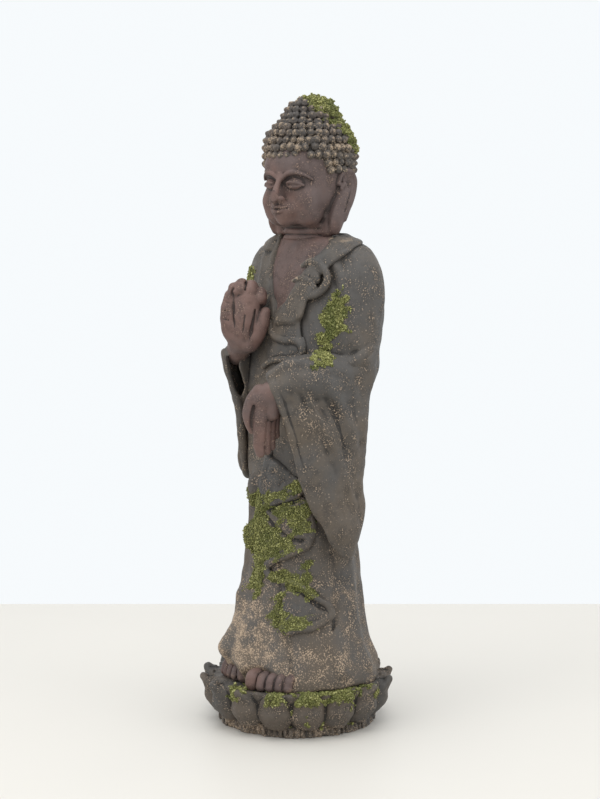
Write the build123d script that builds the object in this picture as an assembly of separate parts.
from build123d import *
import os

# Standing garden buddha on a lotus plinth: a cast-stone figure about 0.8 m tall, built from hollow castings.
#
# Frame: millimetres, +Z up, origin at the centre of the plinth's foot on the surface it stands on.
# The figure faces -Y, so its left side is +X and its back is +Y.
# The hollow robe casting stands on the plinth. The head plugs into its collar and the hands plug into the
# sleeves on steel pins. One steel tie rod clamps plinth, robe and collar together. Moss is a thin flock layer.

# ---- driving dimensions --------------------------------------------------------------------------------
HEIGHT = 800.0            # foot to crown
WALL = 11.0               # wall of every hollow casting
FOOT_R = 103.0            # plinth foot ring
FOOT_RING_Z = 11.0        # top of the foot ring
WAIST_R = 99.0            # waist above the foot ring
WAIST_Z = 15.0
DECK_R = 111.0            # plinth deck, the flat top that the figure stands on
DECK_Z = 57.0
DECK_T = 13.0
DECK_EDGE_R = 2.0         # bevel round the deck
PETALS = 16
PETAL = (                 # height, middle radius, half thickness, half width of one petal's sections
    (11, 99, 6, 8),
    (18, 107, 14, 15),
    (30, 110, 16, 20),
    (42, 110, 16.5, 20),
    (52, 111, 14, 14),
    (60, 118, 5, 6),
)
REBATE_R = 90.0           # rebate under the plinth for the closing disc
DISC_Z = 12.0
DISC_T = 8.0
DRAIN_R = 5.0
DRAIN_AT = 55.0
ROD_R = 5.0               # M10 tie rod
ROD_HOLE_R = 6.0
WASHER_R = 20.0
WASHER_T = 3.0
NUT_FLATS = 17.0
NUT_T = 8.0
COLLAR_DECK_Z = 590.0     # diaphragm in the collar that the upper washer bears on
COLLAR_DECK_T = 12.0
ROD_END = 1.0             # rod left standing past each nut
NECK_R = 27.0             # neck spigot of the head
NECK_GAP = 0.3            # clearance of the glued joints
NECK_BORE_H = 60.0
HEAD_CENTRE_Y = 20.0      # axis of the neck and of the tie rod
NECK_FOOT_Z = COLLAR_DECK_Z + 14.0
PIN_R = 3.0               # steel pins in the wrists
MOSS_T = 1.6              # flock and adhesive
SLIVER = 5.0              # cubic millimetres; smaller cut-offs are dropped

# ---- robe: one section per row is (z, centre y, half width, half depth); the upper rows take in the arms ----
ROBE = (
    (DECK_Z, 6, 104, 97),
    (76, 5, 101, 93),
    (101, 4, 93, 83),
    (150, 6, 86, 74),
    (207, 9, 79, 65),
    (300, 11, 76, 61),
    (390, 13, 80, 60),
    (450, 18, 105, 60),
    (500, 24, 114, 60),
    (545, 28, 114, 58),
    (575, 29, 109, 54),
    (592, 28, 101, 50),
    (607, 27, 84, 44),
    (616, 27, 64, 39),
    (624, 27, 47, 35),
)

# ---- hanging sleeves: (z, centre x, centre y, half thickness, half depth, turn in degrees) -------------
LEFT_SLEEVE = (
    (212, 99, -3, 8, 13, 0),
    (260, 96, -7, 15, 28, -4),
    (320, 91, -14, 19, 37, -10),
    (380, 84, -23, 22, 48, -16),
    (430, 78, -32, 24, 58, -20),
    (462, 79, -28, 24, 60, -20),
    (486, 82, -16, 12, 37, -20),
)
RIGHT_SLEEVE = (
    (300, -96, -2, 8, 14, 0),
    (340, -93, -5, 15, 30, 8),
    (390, -88, -12, 19, 41, 15),
    (440, -82, -20, 22, 49, 22),
    (478, -78, -20, 23, 49, 25),
    (500, -80, -10, 12, 32, 25),
)

# ---- head: (z, centre y, half width, half depth) -------------------------------------------------------
HEAD = (
    (628, 20, 25, 24),
    (642, 14, 38, 38),
    (670, 14, 49, 50),
    (700, 18, 53, 56),
    (735, 22, 56, 59),
    (760, 23, 49, 51),
    (778, 24, 34, 35),
    (794, 25, 21, 21),
    (HEIGHT, 25, 8, 8),
)
HEAD_CAVITY = slice(1, 6)  # the sections that the head's hollow follows
EAR_AT = (53.0, 27.0, 668.0)
EAR_LOW = -36.0
EAR_HIGH = 26.0
EAR_R = 10.0
EAR_FLAT = 0.72           # the ear's thickness over its depth
EAR_TILT = 6.0

# ---- moss patches: two corners of the box that each one fills, or angles and radii on the deck ---------
MOSS_CROWN = ((-6, 8, 748), (60, 90, HEIGHT + 5))
MOSS_LEFT_ARM = ((54, -60, 466), (90, 20, 542))
MOSS_RIGHT_ARM = ((-130, -30, 560), (-86, 30, 582))
MOSS_SKIRT = ((4, -90, 128), (46, -40, 300))
MOSS_DECK = (-50, 6, DECK_R - 4, DECK_R - 2)

# ---- hands: capsules (start, end, radius), palm and fingers of one casting -----------------------------
RIGHT_PALM = ((-41, -52, 484), (-38, -56, 522), 20.0)
RIGHT_FINGERS = (
    ((-26, -61, 530), (-23, -72, 556), 8.5),
    ((-37, -65, 533), (-35, -76, 560), 8.5),
    ((-48, -65, 530), (-47, -76, 556), 8.0),
    ((-57, -63, 526), (-58, -73, 548), 7.0),
    ((-24, -56, 497), (-17, -64, 524), 8.0),
)
RIGHT_WRIST = ((-52, -38, 470), (-42, -52, 482), 15.0)
LEFT_PALM = ((52, -90, 440), (46, -94, 420), 16.0)
LEFT_FINGERS = (
    ((37, -100, 424), (34, -100, 394), 8.0),
    ((43, -98, 420), (42, -98, 364), 7.5),
    ((51, -92, 420), (50, -91, 361), 7.0),
    ((58, -85, 420), (57, -84, 364), 6.5),
    ((64, -79, 420), (63, -77, 372), 6.0),
)
LEFT_WRIST = ((66, -70, 445), (50, -91, 441), 14.0)
RIGHT_PIN = ((-62, -26, 464), (-45, -49, 478))
LEFT_PIN = ((74, -58, 446), (54, -87, 442))

# ---- feet ----------------------------------------------------------------------------------------------
FOOT_X = 31.0             # each foot's middle, left and right of the centre plane
FOOT_BACK_Y = -70.0
INSTEP_END_Y = -83.0
INSTEP_R = 15.0
INSTEP_HEIGHTS = (11.0, 8.0)
TOE_Y = -97.0
TOE_LENGTH = 16.0
TOES = (                  # distance from the foot's middle, radius, distance back from the longest toe
    (-11.7, 9.0, 0.0),
    (-1.8, 7.0, 1.0),
    (6.3, 6.6, 3.0),
    (13.95, 6.2, 6.0),
    (20.7, 5.8, 10.0),
)
TOE_ROOT = 0.9            # height of a toe's root and tip above the deck, in toe radii
TOE_TIP = 0.75

# ---- drapes: capsules (start, end, radius) along the folds ---------------------------------------------
LAPEL = (
    ((33, -6, 612), (27, -28, 572), 9.0),
    ((27, -28, 572), (12, -38, 530), 9.0),
    ((12, -38, 530), (0, -42, 488), 9.0),
    ((0, -42, 488), (24, -42, 470), 7.0),
    ((24, -42, 470), (-8, -46, 452), 7.0),
)
FRONT_DRAPE = (
    ((22, -52, 330), (20, -55, 230), 10.0),
    ((20, -55, 230), (18, -66, 160), 11.0),
    ((20, -54, 300), (50, -42, 288), 7.0),
    ((50, -42, 288), (22, -56, 262), 7.0),
    ((22, -56, 262), (52, -48, 220), 7.0),
    ((52, -48, 220), (22, -62, 190), 7.0),
    ((22, -64, 160), (48, -60, 138), 8.0),
)


def ellipse_loft(rows):
    """A closed solid through horizontal ellipses: (z, centre x, centre y, half x, half y[, turn])."""
    sections = []
    for z, cx, cy, hx, hy, *turn in rows:
        angle = turn[0] if turn else 0
        sections.append(Pos(cx, cy, z) * Rot(0, 0, angle) * Ellipse(hx, hy))
    return Solid.make_loft([s.wire() for s in sections])


def robe_rows(grow=0.0, low=None, high=None):
    """The robe's sections grown outward, with the end heights moved if wanted."""
    rows = [(z, 0, cy, a + grow, b + grow) for z, cy, a, b in ROBE]
    if low is not None:
        rows[0] = (low, *rows[0][1:])
    if high is not None:
        rows = [r for r in rows if r[0] < high - 5]
        rows.append((high, *rows[-1][1:]))
    return rows


def round_bar(start, end, radius):
    """A capsule from start to end: one revolved solid with hemispherical ends."""
    axis = Vector(*end) - Vector(*start)
    length = axis.length
    with BuildSketch(Plane.XZ) as half:
        with BuildLine():
            Line((0, -radius), (0, length + radius))
            RadiusArc((0, length + radius), (radius, length), radius)
            Line((radius, length), (radius, 0))
            RadiusArc((radius, 0), (0, -radius), radius)
        make_face()
    bar = revolve(half.sketch, Axis.Z)
    return Plane(origin=start, z_dir=axis) * bar


def fused(shapes):
    """One solid from overlapping shapes."""
    body = shapes[0]
    for shape in shapes[1:]:
        body = body + shape
    return body


def standing_cylinder(radius, low, high):
    """A cylinder on the neck's axis between two heights."""
    return Pos(0, HEAD_CENTRE_Y, (low + high) / 2) * Cylinder(radius, high - low)


def robe_outer(grow=0.0):
    """The robe's outside, a tapering column with the arms at its sides."""
    return ellipse_loft(robe_rows(grow))


def robe_body():
    """Hollow robe casting: open below, with a diaphragm and a neck socket in the collar."""
    cavity = ellipse_loft(robe_rows(-WALL, low=DECK_Z - 1, high=COLLAR_DECK_Z - COLLAR_DECK_T))
    socket = standing_cylinder(NECK_R + NECK_GAP, COLLAR_DECK_Z, ROBE[-1][0] + WALL)
    return robe_outer() - cavity - socket - standing_cylinder(ROD_HOLE_R, 0, HEIGHT)


def petal(angle):
    """One bulging petal with its tip leaning outward."""
    return Rot(0, 0, angle) * ellipse_loft([(z, r, 0, thick, wide) for z, r, thick, wide in PETAL])


def lotus_plinth():
    """Hollow plinth casting with a ring of petals, open below with a rebate for the closing disc."""
    with BuildSketch(Plane.XZ) as profile:
        with BuildLine():
            Polyline(
                (0, DECK_Z - DECK_T), (REBATE_R - WALL, DECK_Z - DECK_T), (REBATE_R - WALL, DISC_Z + DISC_T),
                (REBATE_R, DISC_Z + DISC_T), (REBATE_R, 0), (FOOT_R, 0), (FOOT_R, FOOT_RING_Z),
                (WAIST_R, WAIST_Z), (DECK_R - DECK_EDGE_R, DECK_Z - DECK_T),
                (DECK_R, DECK_Z - 3 * DECK_EDGE_R), (DECK_R, DECK_Z - DECK_EDGE_R),
                (DECK_R - DECK_EDGE_R, DECK_Z), (0, DECK_Z),
                close=True,
            )
        make_face()
    body = revolve(profile.sketch, Axis.Z) - standing_cylinder(ROD_HOLE_R, 0, 2 * DECK_Z)
    step = 360 / PETALS
    for k in range(PETALS):
        body = body + petal(step / 2 + step * k)
    above_deck = Pos(0, 0, DECK_Z * 3 / 2) * Cylinder(DECK_R - DECK_EDGE_R, DECK_Z)
    return body - above_deck


def closing_disc():
    """Board glued into the plinth's rebate, drilled for the tie rod and for drainage."""
    disc = Pos(0, 0, DISC_Z + DISC_T / 2) * Cylinder(REBATE_R - NECK_GAP, DISC_T)
    drain = Pos(0, -DRAIN_AT, DISC_Z + DISC_T / 2) * Cylinder(DRAIN_R, 2 * DISC_T)
    return disc - standing_cylinder(ROD_HOLE_R, 0, DECK_Z) - drain


def tie_rod():
    """Plain rod from the lower nut to the upper nut."""
    stack = WASHER_T + NUT_T + ROD_END
    return standing_cylinder(ROD_R, DISC_Z - stack, COLLAR_DECK_Z + stack)


def washers():
    """Lower and upper spreader washers on the tie rod."""
    ring = Cylinder(WASHER_R, WASHER_T) - Cylinder(ROD_HOLE_R, 2 * WASHER_T)
    low = Pos(0, HEAD_CENTRE_Y, DISC_Z - WASHER_T / 2) * ring
    high = Pos(0, HEAD_CENTRE_Y, COLLAR_DECK_Z + WASHER_T / 2) * ring
    return Compound(children=[low, high])


def nuts():
    """Lower and upper hexagon nuts; the thread is left plain."""
    nut = extrude(RegularPolygon(NUT_FLATS / 2, 6, major_radius=False), NUT_T) - Cylinder(ROD_R, 3 * NUT_T)
    low = Pos(0, HEAD_CENTRE_Y, DISC_Z - WASHER_T - NUT_T) * nut
    high = Pos(0, HEAD_CENTRE_Y, COLLAR_DECK_Z + WASHER_T) * nut
    return Compound(children=[low, high])


def ear(side):
    """Long-lobed ear: a tall flattened bar against the head."""
    bar = scale(round_bar((0, 0, EAR_LOW), (0, 0, EAR_HIGH), EAR_R), by=(EAR_FLAT, 1, 1))
    x, y, z = EAR_AT
    return Pos(side * x, y, z) * Rot(0, -side * EAR_TILT, 0) * bar


def head_loft(grow=0.0):
    """The head's outside without ears."""
    rows = [(z, 0, cy, a + grow, b + grow) for z, cy, a, b in HEAD]
    rows[-1] = (rows[-1][0] + grow, *rows[-1][1:])
    return ellipse_loft(rows)


def head():
    """Hollow head casting with hair dome, ears and a neck spigot."""
    spigot = standing_cylinder(NECK_R, NECK_FOOT_Z, HEAD[1][0])
    cavity_rows = [(z, 0, cy, a - WALL, b - WALL) for z, cy, a, b in HEAD[HEAD_CAVITY]]
    bore = standing_cylinder(NECK_R - WALL, NECK_FOOT_Z - NECK_GAP, NECK_FOOT_Z + NECK_BORE_H)
    return head_loft() + spigot + ear(1) + ear(-1) - ellipse_loft(cavity_rows) - bore


def hand(palm, fingers, wrist, pin):
    """Palm, fingers and wrist of one solid casting, drilled for its pin."""
    bars = [round_bar(*wrist), round_bar(*palm)] + [round_bar(*finger) for finger in fingers]
    return fused(bars) - round_bar(*pin, PIN_R)


def foot(side):
    """Front of one bare foot: an instep and five toes, flat underneath."""
    heel_z, ball_z = (DECK_Z + height for height in INSTEP_HEIGHTS)
    parts = [round_bar((side * FOOT_X, FOOT_BACK_Y, heel_z), (side * FOOT_X, INSTEP_END_Y, ball_z), INSTEP_R)]
    for across, radius, back in TOES:
        x = side * (FOOT_X + across)
        tip_y = TOE_Y + back
        root = (x, tip_y + TOE_LENGTH, DECK_Z + radius * TOE_ROOT)
        parts.append(round_bar(root, (x, tip_y, DECK_Z + radius * TOE_TIP), radius))
    below = block((-HEIGHT, -HEIGHT, 0), (HEIGHT, HEIGHT, DECK_Z))
    return fused(parts) - below


def sleeve(rows, wrist, pin):
    """One hanging sleeve casting, recessed for the wrist and its pin."""
    return ellipse_loft(rows) - round_bar(*wrist) - round_bar(*pin, PIN_R)


def folds(bars):
    """A drape as one solid of joined round bars."""
    return fused([round_bar(*bar) for bar in bars])


def block(low, high):
    """A cutting box between two corners."""
    size = [h - l for l, h in zip(low, high)]
    middle = [(h + l) / 2 for l, h in zip(low, high)]
    return Pos(*middle) * Box(*size)


def skin_patch(grown, host, corners):
    """A thin layer of moss: what lies between the host and its grown copy inside the box."""
    return (grown & block(*corners)) - host


def deck_moss(start, end, inner, outer):
    """A moss strip on the plinth's deck between two angles and two radii."""
    sweep = end - start
    with BuildSketch(Plane.XY) as strip:
        with BuildLine():
            inner_arc = CenterArc((0, 0), inner, start, sweep)
            outer_arc = CenterArc((0, 0), outer, start, sweep)
            Line(inner_arc @ 0, outer_arc @ 0)
            Line(inner_arc @ 1, outer_arc @ 1)
        make_face()
    return Pos(0, 0, DECK_Z) * extrude(strip.sketch, MOSS_T)


def solids_of(shape):
    """The shape's real solids, largest first, without slivers."""
    found = [s for s in shape.solids() if s.volume > SLIVER]
    return sorted(found, key=lambda s: -s.volume)


def write(name, shape, keep=None):
    """One STEP file with the shape's solids, or only its largest few."""
    found = solids_of(shape)[:keep]
    export_step(Compound(children=found), f"parts/{name}.step")


def main():
    os.makedirs("parts", exist_ok=True)
    robe = robe_body()
    robe_solid = robe_outer()
    plinth = lotus_plinth()
    left_hand = hand(LEFT_PALM, LEFT_FINGERS, LEFT_WRIST, LEFT_PIN) - robe_solid
    right_hand = hand(RIGHT_PALM, RIGHT_FINGERS, RIGHT_WRIST, RIGHT_PIN) - robe_solid
    left_sleeve = sleeve(LEFT_SLEEVE, LEFT_WRIST, LEFT_PIN) - robe_solid - left_hand
    right_sleeve = sleeve(RIGHT_SLEEVE, RIGHT_WRIST, RIGHT_PIN) - robe_solid - right_hand
    neck_socket = standing_cylinder(NECK_R + NECK_GAP, COLLAR_DECK_Z, NECK_FOOT_Z + NECK_BORE_H)
    head_part = head() - (robe_solid - neck_socket)
    pins = [round_bar(*LEFT_PIN, PIN_R), round_bar(*RIGHT_PIN, PIN_R)]
    write("robe_body", robe - pins[0] - pins[1], 1)
    write("lotus_plinth", plinth, 1)
    write("closing_disc", closing_disc(), 1)
    write("tie_rod", tie_rod(), 1)
    write("tie_rod_washers", washers())
    write("tie_rod_nuts", nuts())
    write("head", head_part, 1)
    write("left_hand", left_hand, 1)
    write("right_hand", right_hand, 1)
    write("left_sleeve", left_sleeve, 1)
    write("right_sleeve", right_sleeve, 1)
    write("wrist_pins", Compound(children=pins))
    write("moss_left_arm", skin_patch(robe_outer(MOSS_T), robe_solid, MOSS_LEFT_ARM) - left_sleeve)
    write("moss_right_arm", skin_patch(robe_outer(MOSS_T), robe_solid, MOSS_RIGHT_ARM))
    write("moss_skirt", skin_patch(robe_outer(MOSS_T), robe_solid, MOSS_SKIRT) - folds(FRONT_DRAPE))
    write("moss_crown", skin_patch(head_loft(MOSS_T), head_loft(), MOSS_CROWN), 1)
    write("moss_plinth", deck_moss(*MOSS_DECK) - robe_solid)
    write("left_foot", foot(1) - robe_solid, 1)
    write("right_foot", foot(-1) - robe_solid, 1)
    write("lapel_drape", folds(LAPEL) - robe_solid, 1)
    write("front_drape", folds(FRONT_DRAPE) - robe_solid, 1)


main()
